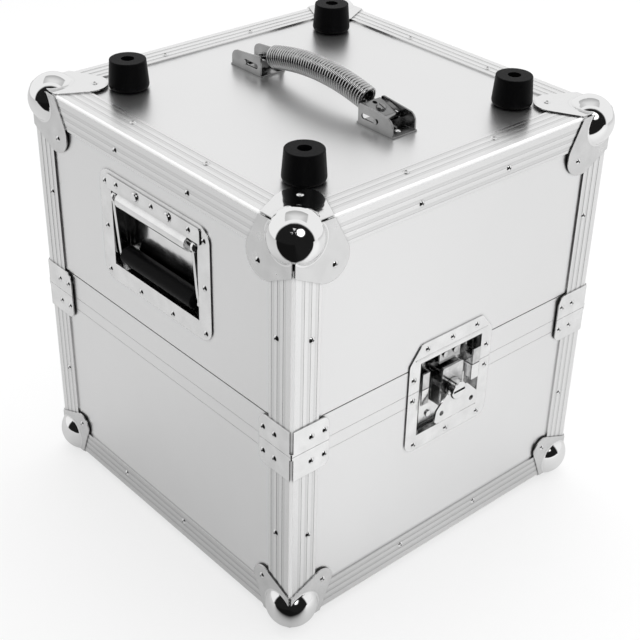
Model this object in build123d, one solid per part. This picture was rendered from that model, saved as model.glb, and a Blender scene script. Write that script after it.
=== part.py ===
from build123d import *
import os
from math import asin, atan2, cos, degrees, pi, radians, sin, sqrt

# Record carrying case, in millimetres. +Z is up, the front with its butterfly latch faces -Y,
# a recessed handle is on -X and another on +X. The origin is under the middle of the case,
# on the plane that the four lower ball corners stand on.

# ---- the box
width = 370.0            # over the edge profiles, along X
depth = 366.0            # over the edge profiles, along Y
height = 398.0           # over the edge profiles, along Z
base_height = 190.5      # from the underside of the box to the split
split_gap = 0.3          # between lid and base when the lid is down
ply = 7.0                # plywood wall with its metal laminate

# ---- edge profiles
edge_leg = 29.0
edge_wall = 1.6
edge_fold = 2.4          # outer radius of the fold
groove_depth = 0.15
groove_width = 3.2
groove_places = (10.0, 17.2, 24.4)
corner_room = 34.0       # the edge profiles stop this far from the corners of the box

# ---- closing profiles round the split
lid_band = 25.0
base_band = 12.7
band_wall = 1.5
band_gap = 1.2           # shadow gap between the lid's band and its panels
base_band_gap = 0.3
tongue_height = 4.0
tongue_width = 2.6
tongue_room = 0.4
mitre = 0.2              # saw cut between the closing profiles at the corners
lid_web = 6.5
base_web = 3.0

# ---- ball corners
ball_radius = 23.5
ball_inset = 14.0        # of the ball's centre inside each face
sheet = 1.2              # pressed sheet of corners, braces and dishes
leaf_end = {"base": 34.5, "lid": 39.5}           # the lid's corners have larger leaves
leaf_rivet = {"base": 37.0, "lid": 41.0}
leaf_round = {"base": 10.5, "lid": 12.2}
leaf_shoulder = {"base": 45.5, "lid": 54.0}
leaf_shoulder_in = {"base": 27.0, "lid": 28.0}
leaf_slit = 1.4
leaf_blend = 2.0         # radius between the ball and its leaves
ball_flat = 0.5          # worn off the ball where it stands

# ---- braces at the split
brace_leg = 40.0
brace_height = 25.0
brace_round = 8.0
brace_slit = 2.8
brace_bridge = 3.0
brace_rivets = (20.6, 35.2)
brace_rivet_rise = 12.3

# ---- rivets
rivet_head = 3.0
rivet_head_height = 1.4
rivet_shank = 1.6
rivet_room = 0.1
rivet_eye = 0.9
edge_rivet_in = 20.0
top_rivets = (-51.5, 51.5)
base_front_rivets = (-49.5, 49.5)
base_side_rivets = (-68.1, 26.7)
lid_post_rivet = 296.0   # height above the underside of the box
base_post_rivet = 97.5

# ---- latch dishes, measured from the split
dish_half = 52.0
dish_mouth = 38.5
dish_drop = 64.0
dish_mouth_drop = 48.5
dish_floor = 10.0        # of the recess, below the face of the box
dish_round = 10.0
dish_rise = 48.0
dish_mouth_rise = 28.5
dish_cut = (14.0, 18.0)
dish_crease = 33.5
crease_height = 0.5
lid_dish_rivets = ((-31.0, 41.0), (0.0, 41.0), (31.0, 41.0), (-46.0, 14.0), (46.0, 14.0))
base_dish_rivets = ((-46.0, -8.0), (46.0, -8.0), (-41.0, -58.0), (0.0, -58.0), (41.0, -58.0))

# ---- butterfly latch
rotor_drop = 9.5         # its axis below the split
rotor_face = 12.5        # in front of the face of the box
drum_radius = 8.5
disc_radius = 9.0
disc_wall = 1.4
shaft_radius = 2.2
crank = 4.0              # throw of the pin that lifts the hook
crank_pin = 1.5
turn_room = 0.3          # beside moving latch pieces
hook_half = 13.0
hook_back = 1.0          # in front of the face of the box
hook_wall = 1.8
hook_top = 13.0
hook_bottom = 25.0
nose_wall = 2.0
nose_reach = 2.0
keeper_wall = 1.5
keeper_rise = 25.0
keeper_rivets = (-6.4, 6.4)
keeper_rivet_rise = 24.5
bridge_low = 16.0
bridge_high = 28.0
bridge_in = 2.5          # of its web, below the face of the box
wing_wall = 1.6
wing_middle = 9.6        # of its thickness, in front of the face of the box
wing_top = 2.2           # above the rotor's axis
wing_bottom = 26.5       # below it
wing_shoulder = (11.5, 26.0, 27.5)
wing_waist = 12.5
wing_flare = 21.5
wing_round = 3.0
wing_hole = 2.6
wing_hole_place = (19.0, 17.5)
wing_pin = 1.2
wing_pin_depth = 3.0
wing_tuck = 2.0
wing_pin_root = 3.0
drum_edge = 0.8
slot_width = 2.4
slot_depth = 2.0
slot_end = 1.5
dog_out = 1.3            # the locating dogs in front of the face of the box
dog_half = 27.0
dog_leg = 9.5
dog_tall = 16.0
frame_drop = 45.0
frame_rivets = (-17.0, 17.0)
frame_rivet_drop = 38.0
shaft_boss = 3.8         # radius of the boss that bears the rotor's shaft

# ---- recessed spring handles, measured from the underside of the box
grip_dish_half = 79.0
grip_dish_low = 246.0
grip_dish_high = 355.0
grip_dish_round = 14.0
grip_mouth_half = 62.0
grip_mouth_low = 263.0
grip_mouth_high = 337.5
grip_floor = 17.2
grip_rivets_side = (342.5, 298.5, 254.0)
grip_rivet_side = 71.0
grip_rivet_low = (23.6, 251.0)
pivot_height = 331.0
pivot_in = 3.0
pivot_pin = 2.5
channel_room = 6.3       # inner radius of the hinge plate's channel
channel_half = 50.0
hinge_half = 67.0
hinge_top = 351.5
hinge_rivets = (-52.0, 0.0, 52.0)
hinge_rivet_height = 345.5
boss_rivets = (-23.3, 23.3)
cover_half = 45.0
cover_low = 310.5
cover_in = 14.0
lug = 3.0
arm_place = 55.0         # inner face of the bail's arms
arm_wall = 5.2
arm_edge = 1.6
arm_width = 8.5
eye_radius = 5.6
rod_height = 275.0
rod_in = 7.0
rod_radius = 3.5
grip_radius = 8.6
grip_half = 52.0
spring_half = 34.0
spring_wire = 1.3
spring_groove = 1.0      # radius of the grooves that show its turns
spring_inner = 3.1
pin_head = 1.0
grip_edge = 1.5

# ---- strap handle on the lid, heights above the top face of the box
arc_rise = 24.0          # middle of the grip
arc_half = 66.0          # half length of the coil
arc_radius = 234.0
coil_radius = 11.0
coil_bore = 7.6
coil_turns = 37
coil_space = 0.2         # between turns
strap_wide = 14.0
strap_thick = 2.4
end_pin_place = 88.0
end_pin_radius = 2.1
end_roll = 3.6
end_clear = 1.0
end_wide = 19.0
end_plate_wall = 1.5
end_strap_gap = 1.4
end_screw = 10.0
end_screw_head = 4.2
end_screw_height = 2.0
end_screw_shank = 2.0
end_screw_slot = 1.2
end_hole = 2.2
end_hole_place = 4.8
bracket_near = 66.0
bracket_far = 108.0
bracket_wide = 28.0
bracket_wall = 1.5
bracket_tall = 18.0
bracket_low = 14.0
bracket_lip = 1.5
bracket_bend = (3.0, 8.0)
slot_near = 70.0
slot_room = 0.3
bracket_rivet = 101.0

# ---- rubber feet on the lid
foot_place = (121.5, 120.5)
foot_height = 26.0       # above the top face of the box
foot_base = 18.75
foot_top = 16.5
foot_bore = 6.0
foot_web = 8.0
foot_edge = 0.8
foot_heel = 4.5          # radius round the foot where it meets the lid
foot_screw = 2.4
foot_screw_head = 4.6
foot_screw_cross = (11.0, 1.2)
foot_screw_height = 3.2
foot_washer = 5.4
foot_washer_wall = 1.0

# ---- foam inside
foam = 5.0
foam_room = 0.3

# ---- worked out
stand = ball_radius - ball_inset - ball_flat     # the box clears the ground by this much
bottom = stand
split = bottom + base_height
top = bottom + height
panel_in = edge_wall + ply                       # depth of the walls' inner faces
dish_back = dish_floor + sheet
far = 900.0


def slab(x0, x1, y0, y1, z0, z1):
    """A block between two opposite corners."""
    return Pos((x0 + x1) / 2, (y0 + y1) / 2, (z0 + z1) / 2) * Box(x1 - x0, y1 - y0, z1 - z0)


def on_face(outline, out, thick):
    """A plate on the front face: it starts `out` in front of the face and grows outwards."""
    return extrude(Plane.XZ.offset(out) * outline, amount=thick)


def post(x, z, out, radius, length):
    """A round bar that stands on the front face, from `out` in front of it outwards."""
    return Pos(x, -out - length / 2, z) * Rot(X=90) * Cylinder(radius, length)


def write(node, pieces):
    """Saves one sub-part."""
    pieces = pieces if isinstance(pieces, list) else [pieces]
    solids = [solid for piece in pieces for solid in piece.solids()]
    shape = solids[0] if len(solids) == 1 else Compound(label=node, children=solids)
    export_step(shape, f"parts/{node}.step")


# ---- places that repeat

faces = {
    "front": Pos(0, -depth / 2, 0),
    "right": Pos(width / 2, 0, 0) * Rot(Z=90),
    "back": Pos(0, depth / 2, 0) * Rot(Z=180),
    "left": Pos(-width / 2, 0, 0) * Rot(Z=-90),
}
face_span = {"front": width, "right": depth, "back": width, "left": depth}
corners = [
    Pos(-width / 2, -depth / 2, 0),
    Pos(width / 2, -depth / 2, 0) * Rot(Z=90),
    Pos(width / 2, depth / 2, 0) * Rot(Z=180),
    Pos(-width / 2, depth / 2, 0) * Rot(Z=270),
]


def spot(x, z, out):
    """Where a rivet's head sits on the front face, with +Z pointing outwards."""
    return Pos(x, -out, z) * Rot(X=90)


def edge_spots(part):
    """Rivets along the edge profiles of the base or the lid."""
    spots = []
    for name, face in faces.items():
        if part == "lid":
            row = top_rivets
            level, post_level, flat = top - edge_rivet_in, bottom + lid_post_rivet, Pos(0, 0, top)
        else:
            row = base_front_rivets if name in ("front", "back") else base_side_rivets
            level, post_level = bottom + edge_rivet_in, bottom + base_post_rivet
            flat = Pos(0, 0, bottom) * Rot(X=180)
        side = face_span[name] / 2 - edge_rivet_in
        spots += [face * spot(x, level, 0) for x in row]
        spots += [face * spot(x, post_level, 0) for x in (-side, side)]
        spots += [face * Pos(x, edge_rivet_in, 0) * flat for x in row]
    return spots


def level(part):
    """Takes the corner at the origin to the foot of the base, or turned over to the top of the lid."""
    return Pos(0, 0, bottom) if part == "base" else Pos(0, 0, top) * Rot(Z=90) * Rot(X=180)


def corner_spots(part):
    """One rivet in each leaf of each ball corner."""
    a = leaf_rivet[part]
    leaves = [Pos(a, -sheet, a) * Rot(X=90), Pos(-sheet, a, a) * Rot(Y=-90)]
    leaves.append(Pos(a, a, -sheet) * Rot(X=180))
    return [corner * level(part) * leaf for corner in corners for leaf in leaves]


def brace_spots(part):
    """Two rivets in each leg of each brace half."""
    rise = brace_rivet_rise if part == "lid" else -brace_rivet_rise
    spots = []
    for corner in corners:
        for a in brace_rivets:
            spots.append(corner * Pos(a, -sheet, split + rise) * Rot(X=90))
            spots.append(corner * Pos(-sheet, a, split + rise) * Rot(Y=-90))
    return spots


def dish_spots(part):
    """Rivets round the latch dishes on the front and back."""
    places = lid_dish_rivets if part == "lid" else base_dish_rivets
    seat = sheet - edge_wall
    return [faces[name] * spot(x, split + z, seat) for name in ("front", "back") for x, z in places]


def grip_spots():
    """Rivets round the handle dishes on the left and right."""
    seat = sheet - edge_wall
    low_x, low_z = grip_rivet_low
    places = [(x, z) for z in grip_rivets_side for x in (-grip_rivet_side, grip_rivet_side)]
    places += [(-low_x, low_z), (low_x, low_z)]
    return [faces[name] * spot(x, bottom + z, seat) for name in ("left", "right") for x, z in places]


def hinge_spots():
    """Small rivets along the top of the hinge plates, over the dish flange."""
    seat = 2 * sheet - edge_wall
    return [faces[name] * spot(x, bottom + hinge_rivet_height, seat)
            for name in ("left", "right") for x in hinge_rivets + boss_rivets]



def bracket_spots():
    """Rivets in the feet of the two handle brackets."""
    level = top - edge_wall + bracket_wall
    return [Pos(0, sign * bracket_rivet, level) for sign in (-1, 1)]


def rivet(seat):
    """A domed blind rivet whose head sits `seat` in front of the box, and whose shank fills the wall."""
    dome = (rivet_head ** 2 + rivet_head_height ** 2) / (2 * rivet_head_height)
    head = Pos(0, 0, rivet_head_height - dome) * Sphere(dome) & Pos(0, 0, dome) * Box(far, far, 2 * dome)
    length = seat + panel_in
    shank = Pos(0, 0, -length / 2) * Cylinder(rivet_shank, length)
    eye = Pos(0, 0, rivet_head_height) * Cylinder(rivet_eye, rivet_head_height)
    return (head + shank - eye).solids()[0]


def rivets(spots, seat):
    """Copies of one rivet on all the spots."""
    one = rivet(seat)
    return [place * one for place in spots]


def drilled(piece, spots, seat, radius=rivet_shank + rivet_room):
    """Opens the holes of the rivets that pass through a piece."""
    length = seat + panel_in
    drill = Pos(0, 0, (rivet_head_height - length) / 2) * Cylinder(radius, length + rivet_head_height)
    box = piece.bounding_box()
    tools = []
    for place in spots:
        tool = place * drill
        reach = tool.bounding_box()
        clear_x = reach.max.X < box.min.X or reach.min.X > box.max.X
        clear_y = reach.max.Y < box.min.Y or reach.min.Y > box.max.Y
        clear_z = reach.max.Z < box.min.Z or reach.min.Z > box.max.Z
        if not (clear_x or clear_y or clear_z):
            tools.append(tool)
    return piece - tools if tools else piece


# ---- walls

def wall_panel(name, part):
    """A side wall of the base or the lid, with the opening for its latch or handle dish."""
    inset = edge_wall if name in ("left", "right") else panel_in
    half = face_span[name] / 2 - inset
    if part == "base":
        low, high = bottom + panel_in, split - base_web
        step_low, step_high = split - base_band - base_band_gap, high
    else:
        low, high = split + split_gap + lid_web, top - panel_in
        step_low, step_high = low, split + lid_band + band_gap
    piece = slab(-half, half, edge_wall, panel_in, low, high)
    piece -= slab(-far, far, 0, edge_wall + band_wall, step_low, step_high)
    if name in ("left", "right"):
        for sign in (-1, 1):
            ends = sorted((sign * (half - band_wall), sign * far))
            piece -= slab(ends[0], ends[1], 0, far, step_low, step_high)
    if name in ("front", "back"):
        side = dish_mouth + sheet
        if part == "base":
            piece -= slab(-side, side, 0, far, split - dish_mouth_drop - sheet, far)
        else:
            piece -= slab(-side, side, 0, far, 0, split + dish_mouth_rise + sheet)
    elif part == "lid":
        side = grip_mouth_half + sheet
        low, high = bottom + grip_mouth_low - sheet, bottom + grip_mouth_high + sheet
        piece -= slab(-side, side, 0, far, low, high)
    return faces[name] * piece


def flat_panel(part):
    """The floor of the base, or the top of the lid."""
    x, y = width / 2 - edge_wall, depth / 2 - edge_wall
    low = bottom + edge_wall if part == "base" else top - panel_in
    return slab(-x, x, -y, y, low, low + ply)


# ---- edge profiles

def edge_section():
    """Section of the grooved angle: its corner is at the origin, its legs run along +X and +Y."""
    leg = Pos(edge_leg / 2, edge_leg / 2) * Rectangle(edge_leg, edge_leg)
    bore = Pos(edge_leg / 2 + edge_wall, edge_leg / 2 + edge_wall) * Rectangle(edge_leg, edge_leg)
    section = leg - bore
    fold = section.vertices().sort_by(lambda v: v.X + v.Y)[0]
    section = fillet(fold, edge_fold)
    for a in groove_places:
        section -= Pos(a, 0) * Rectangle(groove_width, 2 * groove_depth)
        section -= Pos(0, a) * Rectangle(2 * groove_depth, groove_width)
    return section


def level_edge(name, part):
    """The angle along the bottom or the top of one face."""
    half = face_span[name] / 2 - corner_room
    bar = extrude(Plane.YZ.offset(-half) * edge_section(), amount=2 * half)
    if part == "base":
        return faces[name] * Pos(0, 0, bottom) * bar
    return faces[name] * Pos(0, 0, top) * mirror(bar, Plane.XY)


def corner_post(corner, part):
    """The upright angle at one corner, from the ball corner to the split."""
    low, high = (bottom + corner_room, split) if part == "base" else (split + split_gap, top - corner_room)
    return corner * Pos(0, 0, low) * extrude(edge_section(), amount=high - low)


# ---- closing profiles

def closing_ring(part):
    """Tongue-and-groove profile round the split, mitred at the corners and cut for the latches."""
    def frame(inset, wall, low, high):
        x, y = width / 2 - inset, depth / 2 - inset
        return slab(-x, x, -y, y, low, high) - slab(wall - x, x - wall, wall - y, y - wall, low, high)

    middle = edge_wall + band_wall + (ply - band_wall) / 2 - tongue_width / 2
    inner = panel_in
    across = inner + band_wall - edge_wall
    if part == "base":
        ring = frame(edge_wall, band_wall, split - base_band, split)
        ring += frame(inner, band_wall, split - base_band, split)
        ring += frame(edge_wall, across, split - base_web, split)
        ring += frame(middle, tongue_width, split - base_web, split + tongue_height)
    else:
        low = split + split_gap
        ring = frame(edge_wall, band_wall, low, split + lid_band)
        ring += frame(inner, band_wall, low, split + lid_band)
        ring += frame(edge_wall, across, low, low + lid_web)
        groove = tongue_width + 2 * tongue_room
        ring -= frame(middle - tongue_room, groove, low, split + tongue_height + tongue_room)
    side = dish_mouth + sheet
    ring -= slab(-side, side, -far, far, 0, far)
    for corner in corners:
        ring -= corner * Rot(Z=45) * slab(0, edge_leg, -mitre / 2, mitre / 2, 0, far)
    return ring


# ---- ball corners

def leaf_outline(part):
    """Outline of one leaf, with its two folds along +X and +Y."""
    start, end = (0, leaf_end[part]), (leaf_end[part], 0)
    inner, outer = leaf_shoulder_in[part], leaf_shoulder[part]
    tip_a, tip_b = (inner, outer), (outer, inner)
    reach = leaf_rivet[part] + leaf_round[part] / sqrt(2)
    with BuildLine() as line:
        Line(start, tip_a)
        ThreePointArc(tip_a, (reach, reach), tip_b)
        Polyline(tip_b, end, (0, 0), start)
    outline = make_face(line.line)
    edge, slit = outer + leaf_round[part], leaf_slit / 2
    return outline & Pos(edge / 2 + slit, edge / 2 + slit) * Rectangle(edge, edge)


def ball_corner(part):
    """Pressed ball with three leaves, on the corner at the origin, inside towards +++."""
    centre = Pos(ball_inset, ball_inset, ball_inset)
    inner = ball_radius - sheet
    ball = centre * Sphere(ball_radius)
    rise = ball_inset + sheet
    ring_out = sqrt((ball_radius + leaf_blend) ** 2 - (rise + leaf_blend) ** 2)
    share = ball_radius / (ball_radius + leaf_blend)
    on_ball = (ring_out * share, (rise + leaf_blend) * share)
    low = ball_inset + sheet / 2
    under_ball = sqrt((ball_radius - sheet / 2) ** 2 - low ** 2)
    half = (atan2(-(rise + leaf_blend), -ring_out) - pi / 2) / 2
    bend = (ring_out + leaf_blend * cos(half), rise + leaf_blend + leaf_blend * sin(half))
    with BuildLine() as line:
        ThreePointArc((ring_out, rise), bend, on_ball)
        Polyline(on_ball, (under_ball, low), (ring_out, low), (ring_out, rise))
    crease = revolve(Plane.XZ * make_face(line.line), Axis.Z)
    outline = leaf_outline(part)
    leaf = extrude(outline, amount=sheet)
    leaf += Pos(ball_inset, ball_inset, -ball_inset) * crease & extrude(outline, amount=ball_radius)
    planes = (
        Plane(origin=(0, 0, 0), x_dir=(0, 1, 0), z_dir=(0, 0, -1)),
        Plane.XZ,
        Plane(origin=(0, 0, 0), x_dir=(0, 0, 1), z_dir=(-1, 0, 0)),
    )
    leaves = [plane.location * leaf for plane in planes]
    body = ball
    for each in leaves:
        body += each
    body -= centre * Sphere(inner)
    body -= slab(edge_wall, far, edge_wall, far, edge_wall, far)
    return body


def ball_corners(part):
    """The four ball corners of one half; those of the base have a flat to stand on."""
    one = ball_corner(part)
    if part == "base":
        one -= slab(-far, far, -far, far, -far, -stand)
    one = drilled_leaves(one, part)
    return [corner * level(part) * one for corner in corners]


def drilled_leaves(one, part):
    """Rivet holes through the three leaves of the corner at the origin."""
    a, radius = leaf_rivet[part], rivet_shank + rivet_room
    one -= Pos(a, -sheet / 2, a) * Rot(X=90) * Cylinder(radius, 2 * sheet)
    one -= Pos(-sheet / 2, a, a) * Rot(Y=90) * Cylinder(radius, 2 * sheet)
    one -= Pos(a, a, -sheet / 2) * Cylinder(radius, 2 * sheet)
    return one


# ---- braces at the split

def brace(part):
    """Half of a split brace: a pressed angle round one upright edge, slit along its fold."""
    low, high = (split - brace_height, split) if part == "base" else (split + split_gap, split + brace_height)
    shape = slab(-sheet, brace_leg, -sheet, brace_leg, low, high) - slab(0, far, 0, far, 0, far)
    far_edges = shape.edges().filter_by(lambda e: abs(e.length - sheet) < 0.01)
    outer = far_edges.filter_by(lambda e: max(e.center().X, e.center().Y) > brace_leg - 0.01)
    shape = fillet(outer.filter_by(lambda e: tip_level(e, part, low, high)), brace_round)
    fold = shape.edges().filter_by(Axis.Z).sort_by(lambda e: e.center().X + e.center().Y)[0]
    shape = fillet(fold, sheet)
    slit_low, slit_high = (low, high - brace_bridge) if part == "base" else (low + brace_bridge, high)
    half = brace_slit / 2
    shape -= Rot(Z=45) * slab(-far, sheet, -half, half, slit_low, slit_high)
    return shape


def tip_level(edge, part, low, high):
    """True for the edges at the free end of a brace half, away from the split."""
    level = low if part == "base" else high
    return abs(edge.center().Z - level) < 0.01


def braces(part):
    """Four brace halves with their rivet holes."""
    one = brace(part)
    return [drilled(corner * one, brace_spots(part), sheet) for corner in corners]


# ---- latch dishes

def base_dish():
    """Pressed recess of the latch below the split, open at the top where the lid's half meets it."""
    low = split - dish_drop
    flange = slab(-dish_half, dish_half, edge_wall - sheet, edge_wall, low, split)
    ends = flange.edges().filter_by(Axis.Y).filter_by(lambda e: e.center().Z < low + 0.1)
    flange = fillet(ends, dish_round)
    side, mouth = dish_mouth + sheet, split - dish_mouth_drop
    tray = slab(-side, side, edge_wall - sheet, dish_back, mouth - sheet, split)
    cavity = slab(-dish_mouth, dish_mouth, -far, dish_floor, mouth, far)
    dish = flange + tray - cavity
    dish = drilled(dish, [spot(x, split + z, sheet - edge_wall) for x, z in base_dish_rivets], 0)
    return dish - [post(x, split - frame_rivet_drop, -far, rivet_shank, far) for x in frame_rivets]


def lid_dish():
    """Pressed recess of the keeper above the split, with its corners cut and a stiffening crease."""
    low, high = split + split_gap, split + dish_rise
    cut_x, cut_z = dish_cut
    with BuildLine() as line:
        Polyline((-dish_half, low), (dish_half, low), (dish_half, high - cut_z), (dish_half - cut_x, high),
                 (cut_x - dish_half, high), (-dish_half, high - cut_z), (-dish_half, low))
    outline = make_face(line.line)
    tips = outline.vertices().filter_by(lambda v: v.Y > split + dish_mouth_rise)
    outline = fillet(tips, dish_round / 2)
    flange = on_face(outline, -edge_wall, sheet)
    side, mouth = dish_mouth + sheet, split + dish_mouth_rise
    tray = slab(-side, side, edge_wall - sheet, dish_back, low, mouth + sheet)
    cavity = slab(-dish_mouth, dish_mouth, -far, dish_floor, 0, mouth)
    crease_half = dish_half - cut_x / 2
    bead = Rot(Y=90) * Cylinder(crease_height, 2 * crease_half)
    bead = Pos(0, edge_wall - sheet, split + dish_crease) * bead
    dish = flange + tray - cavity
    dish += bead & slab(-far, far, -far, edge_wall - sheet, 0, far)
    dish = drilled(dish, [spot(x, split + z, sheet - edge_wall) for x, z in lid_dish_rivets], 0)
    return dish - [post(x, split + keeper_rivet_rise, -far, rivet_shank, far) for x in keeper_rivets]


def dogs(low, high):
    """Two locating dogs of a latch plate: tabs beside the hook, with their ends bent outward."""
    wall = keeper_wall
    dog = slab(dog_half, dog_half + wall, -dog_out, dish_floor, low, high)
    dog += slab(dog_half, dog_half + dog_leg, -dog_out, wall - dog_out, low, high)
    bend = dog.edges().filter_by(Axis.Z).sort_by(lambda e: e.center().X + e.center().Y)[0]
    dog = fillet(bend, wall)
    return dog + mirror(dog, Plane.YZ)


def latch_plate(low, high):
    """A plate on the floor of a dish."""
    half = dog_half + keeper_wall
    return slab(-half, half, dish_floor - keeper_wall, dish_floor, low, high)


def keeper():
    """Plate in the lid's dish with the lip that the hook holds, and two rivets through its bridge."""
    wall = keeper_wall
    low, high = split + split_gap + turn_room, split + keeper_rise
    plate = latch_plate(low, high) + dogs(low, low + dog_tall)
    lip_top = split + hook_top - nose_wall - turn_room
    lip_out = hook_back - nose_reach - turn_room
    plate += slab(-hook_half, hook_half, -lip_out, dish_floor, lip_top - wall, lip_top)
    low, high = split + bridge_low, split + bridge_high
    plate += slab(-hook_half, hook_half, bridge_in, dish_floor, low, high)
    plate -= slab(-far, far, bridge_in + wall, dish_floor - wall, low + wall, high - wall)
    rivet_heads = []
    for x in keeper_rivets:
        level = split + keeper_rivet_rise
        hole = post(x, level, -dish_floor - sheet, rivet_shank, sheet + dish_floor - bridge_in)
        plate -= hole
        rivet_heads.append(post(x, level, -bridge_in, rivet_head, rivet_head_height) + hole)
    return plate, rivet_heads


def latch_frame():
    """Plate riveted into the base's dish: it bears the rotor and guides the hook."""
    low, high = split - frame_drop, split - turn_room
    plate = latch_plate(low, high) + dogs(high - dog_tall, high)
    rivet_heads = []
    for x in frame_rivets:
        level = split - frame_rivet_drop
        hole = post(x, level, -dish_floor - sheet, rivet_shank, sheet + keeper_wall)
        plate -= hole
        head = post(x, level, keeper_wall - dish_floor, rivet_head, rivet_head_height)
        rivet_heads.append(head + hole)
    axis = split - rotor_drop
    boss_out = hook_back - turn_room
    plate += post(0, axis, keeper_wall - dish_floor, shaft_boss, boss_out - keeper_wall + dish_floor)
    plate -= post(0, axis, -dish_floor, shaft_radius + rivet_room, boss_out + dish_floor)
    guide = hook_half + turn_room
    for sign in (-1, 1):
        ends = sorted((sign * guide, sign * (guide + keeper_wall)))
        out = hook_back + hook_wall
        plate += slab(ends[0], ends[1], -out, dish_floor - keeper_wall, split - hook_bottom, high)
    return plate, rivet_heads


def hook():
    """Sliding plate with a nose at its top; its slots take the rotor's shaft and crank pin."""
    axis = split - rotor_drop
    low, high, out = split - hook_bottom, split + hook_top, hook_back + hook_wall
    plate = slab(-hook_half, hook_half, -out, -hook_back, low, high)
    plate = fillet(plate.edges().filter_by(Axis.Y), hook_wall)
    nose = hook_half - hook_wall
    plate += slab(-nose, nose, -out, nose_reach - hook_back, high - nose_wall, high)
    room = shaft_radius + turn_room
    plate -= slab(-room, room, -far, 0, axis - 2 * crank - room, axis + room)
    swing = asin(2 / pi)
    lag = 2 * crank * swing / pi - crank * (1 - cos(swing))
    tall = crank_pin + lag + turn_room
    wide = crank + crank_pin + turn_room
    plate -= slab(-wide, wide, -far, 0, axis - crank - tall, axis - crank + tall)
    return plate


def rotor():
    """Drum on a shaft, with the crank pin behind it and a screwdriver slot in its face."""
    axis = split - rotor_drop
    disc_out = hook_back + hook_wall + turn_room
    piece = post(0, axis, disc_out, disc_radius, disc_wall)
    drum = post(0, axis, disc_out, drum_radius, rotor_face - disc_out)
    rim = drum.edges().filter_by(GeomType.CIRCLE).sort_by(Axis.Y)[0]
    piece += fillet(rim, drum_edge)
    piece += post(0, axis, turn_room - dish_floor, shaft_radius, disc_out + dish_floor - turn_room)
    piece += post(0, axis - crank, hook_back - turn_room / 2, crank_pin, hook_wall + 2 * turn_room)
    half, reach = slot_width / 2, drum_radius - slot_end
    piece -= slab(-reach, reach, -far, slot_depth - rotor_face, axis - half, axis + half)
    piece -= Pos(0, -wing_middle, axis) * Rot(Y=90) * Cylinder(wing_pin + rivet_room, 4 * drum_radius)
    return piece


def wing():
    """Butterfly turn plate: two lobes round the drum, hinged on pins in the drum's sides."""
    axis = split - rotor_drop
    low, high = axis - wing_bottom, axis + wing_top
    near, waist, wide = wing_shoulder
    side = [(near, high), (waist, axis - wing_waist), (wide, axis - wing_flare), (wide - wing_tuck, low)]
    points = side + [(-x, z) for x, z in reversed(side)]
    with BuildLine() as line:
        Polyline(*points, close=True)
    outline = fillet(make_face(line.line).vertices(), wing_round)
    face_rise = rotor_face - wing_middle
    notch = sqrt(drum_radius ** 2 + face_rise ** 2) + turn_room
    outline -= Pos(0, axis) * Circle(notch)
    outline -= Pos(0, axis + wing_bottom / 2) * Rectangle(2 * notch, wing_bottom)
    x, drop = wing_hole_place
    outline -= [Pos(sign * x, axis - drop) * Circle(wing_hole) for sign in (-1, 1)]
    piece = on_face(outline, wing_middle - wing_wall / 2, wing_wall)
    length = notch + wing_pin_root - drum_radius + wing_pin_depth
    pin = Rot(Y=90) * Cylinder(wing_pin, length)
    middle = drum_radius - wing_pin_depth + length / 2
    for x in (-middle, middle):
        piece += Pos(x, -wing_middle, axis) * pin
    return piece


# ---- recessed spring handles

def grip_dish():
    """Pressed flange and recess of a spring handle."""
    low, high = bottom + grip_dish_low, bottom + grip_dish_high
    flange = slab(-grip_dish_half, grip_dish_half, edge_wall - sheet, edge_wall, low, high)
    flange = fillet(flange.edges().filter_by(Axis.Y), grip_dish_round)
    half, mouth_low, mouth_high = grip_mouth_half, bottom + grip_mouth_low, bottom + grip_mouth_high
    tray = slab(-half - sheet, half + sheet, edge_wall - sheet, grip_floor + sheet, mouth_low - sheet,
                mouth_high + sheet)
    cavity = slab(-half, half, -far, grip_floor, mouth_low, mouth_high)
    dish = flange + tray - cavity
    places = [(x, z) for z in grip_rivets_side for x in (-grip_rivet_side, grip_rivet_side)]
    places += [(sign * grip_rivet_low[0], grip_rivet_low[1]) for sign in (-1, 1)]
    places += [(x, hinge_rivet_height) for x in hinge_rivets + boss_rivets]
    return drilled(dish, [spot(x, bottom + z, sheet - edge_wall) for x, z in places], 0)


def hinge_plate():
    """Plate over the top of the recess, rolled into a channel that houses the pin and its spring."""
    seat = edge_wall - sheet
    level, outer = bottom + pivot_height, channel_room + sheet
    plate = slab(-hinge_half, hinge_half, seat - sheet, seat, level + channel_room, bottom + hinge_top)
    tips = plate.edges().filter_by(Axis.Y).filter_by(lambda e: e.center().Z > bottom + hinge_top - 0.1)
    plate = fillet(tips, 2 * sheet)
    around = Pos(0, pivot_in, level) * Rot(Y=90)
    channel = around * (Cylinder(outer, 2 * channel_half) - Cylinder(channel_room, 2 * (channel_half - lug)))
    channel &= slab(-far, far, -far, pivot_in, 0, far)
    channel -= slab(-far, far, seat, far, bottom + grip_mouth_high, far)
    drop = degrees(atan2(pivot_height - outer - cover_low, cover_in - pivot_in))
    cover = slab(-cover_half, cover_half, -sheet / 2, cover_in - pivot_in, 0, sheet)
    plate += channel
    plate += Pos(0, pivot_in, level - outer) * Rot(X=-drop) * cover
    plate -= around * Cylinder(pivot_pin + rivet_room, 3 * channel_half)
    level = bottom + hinge_rivet_height
    return drilled(plate, [spot(x, level, sheet - seat) for x in hinge_rivets + boss_rivets], 0)


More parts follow.
